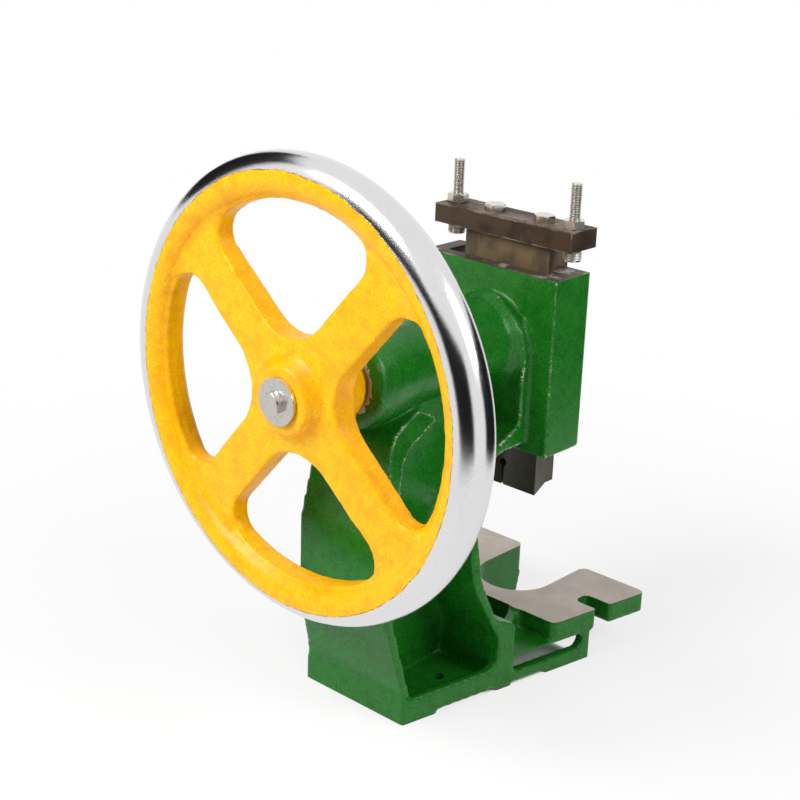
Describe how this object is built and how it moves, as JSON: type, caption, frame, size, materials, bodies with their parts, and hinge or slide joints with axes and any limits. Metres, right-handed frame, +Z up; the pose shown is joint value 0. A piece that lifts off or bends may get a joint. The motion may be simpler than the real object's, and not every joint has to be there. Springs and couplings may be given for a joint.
{
  "type": "lever hole punch",
  "caption": "Bench punch press: cast C-frame with slotted table, handwheel crankshaft, dovetail ram with shank bore, and a cross bar with adjustable stop screws.",
  "frame": {"origin": "on the bench, in the machine's middle plane, halfway along its length from the wheel bolt to the table's front", "axes": "+Z up, +Y from the handwheel to the front of the table, +X to the right seen from behind the handwheel"},
  "size_m": [0.388, 0.3894, 0.501],
  "materials": {
    "frame_enamel": "gloss enamel over rough casting, bare machined faces",
    "wheel_enamel": "textured yellow enamel with a polished rim",
    "ram_steel": "oiled dark steel",
    "bar_steel": "oiled dark steel",
    "zinc": "bright zinc",
    "black_steel": "black oxide",
    "shaft_steel": "ground",
    "gib_iron": "scraped",
    "bronze": "plain bearing bronze"
  },
  "bodies": {
    "frame": {"frame_casting": "frame_enamel", "rear_bush": "bronze", "front_bush": "bronze", "thrust_washer": "bronze", "gib_strip": "gib_iron", "gib_screws": "zinc", "gib_lock_nuts": "zinc"},
    "crank": {"crankshaft": "shaft_steel", "wheel_key": "black_steel", "handwheel": "wheel_enamel", "wheel_washer": "zinc", "wheel_bolt": "zinc"},
    "block": {"slider_block": "bronze"},
    "ram": {"ram": "ram_steel", "shank_clamp_screw": "black_steel", "cross_bar": "bar_steel", "bar_bolt_left": "zinc", "bar_bolt_right": "zinc", "stop_nut_left": "zinc", "stop_nut_right": "zinc"},
    "stop_left": {"stop_screw_left": "zinc"},
    "stop_right": {"stop_screw_right": "zinc"}
  },
  "joints": [
    {"name": "crank_turn", "type": "hinge", "parent": "frame", "child": "crank", "pos_m": [0, 0, 0.307], "axis": [0, 1, 0], "range_deg": [-45, 45]},
    {"name": "block_turn", "type": "hinge", "parent": "crank", "child": "block", "pos_m": [0.014, 0.1017, 0.307], "axis": [0, 1, 0], "range_deg": [-45, 45]},
    {"name": "ram_slide", "type": "slide", "parent": "frame", "child": "ram", "axis": [0, 0, -1], "range_m": [-0.0102, 0.0102]},
    {"name": "stop_left_adjust", "type": "slide", "parent": "ram", "child": "stop_left", "axis": [0, 0, -1], "range_m": [0, 0.0045]},
    {"name": "stop_right_adjust", "type": "slide", "parent": "ram", "child": "stop_right", "axis": [0, 0, -1], "range_m": [0, 0.0045]}
  ],
  "couplings": [
    {"joint": "block_turn", "follows": "crank_turn", "ratio": -1},
    {"joint": "ram_slide", "follows": "crank_turn", "m_per_rad": 0.01295}
  ]
}
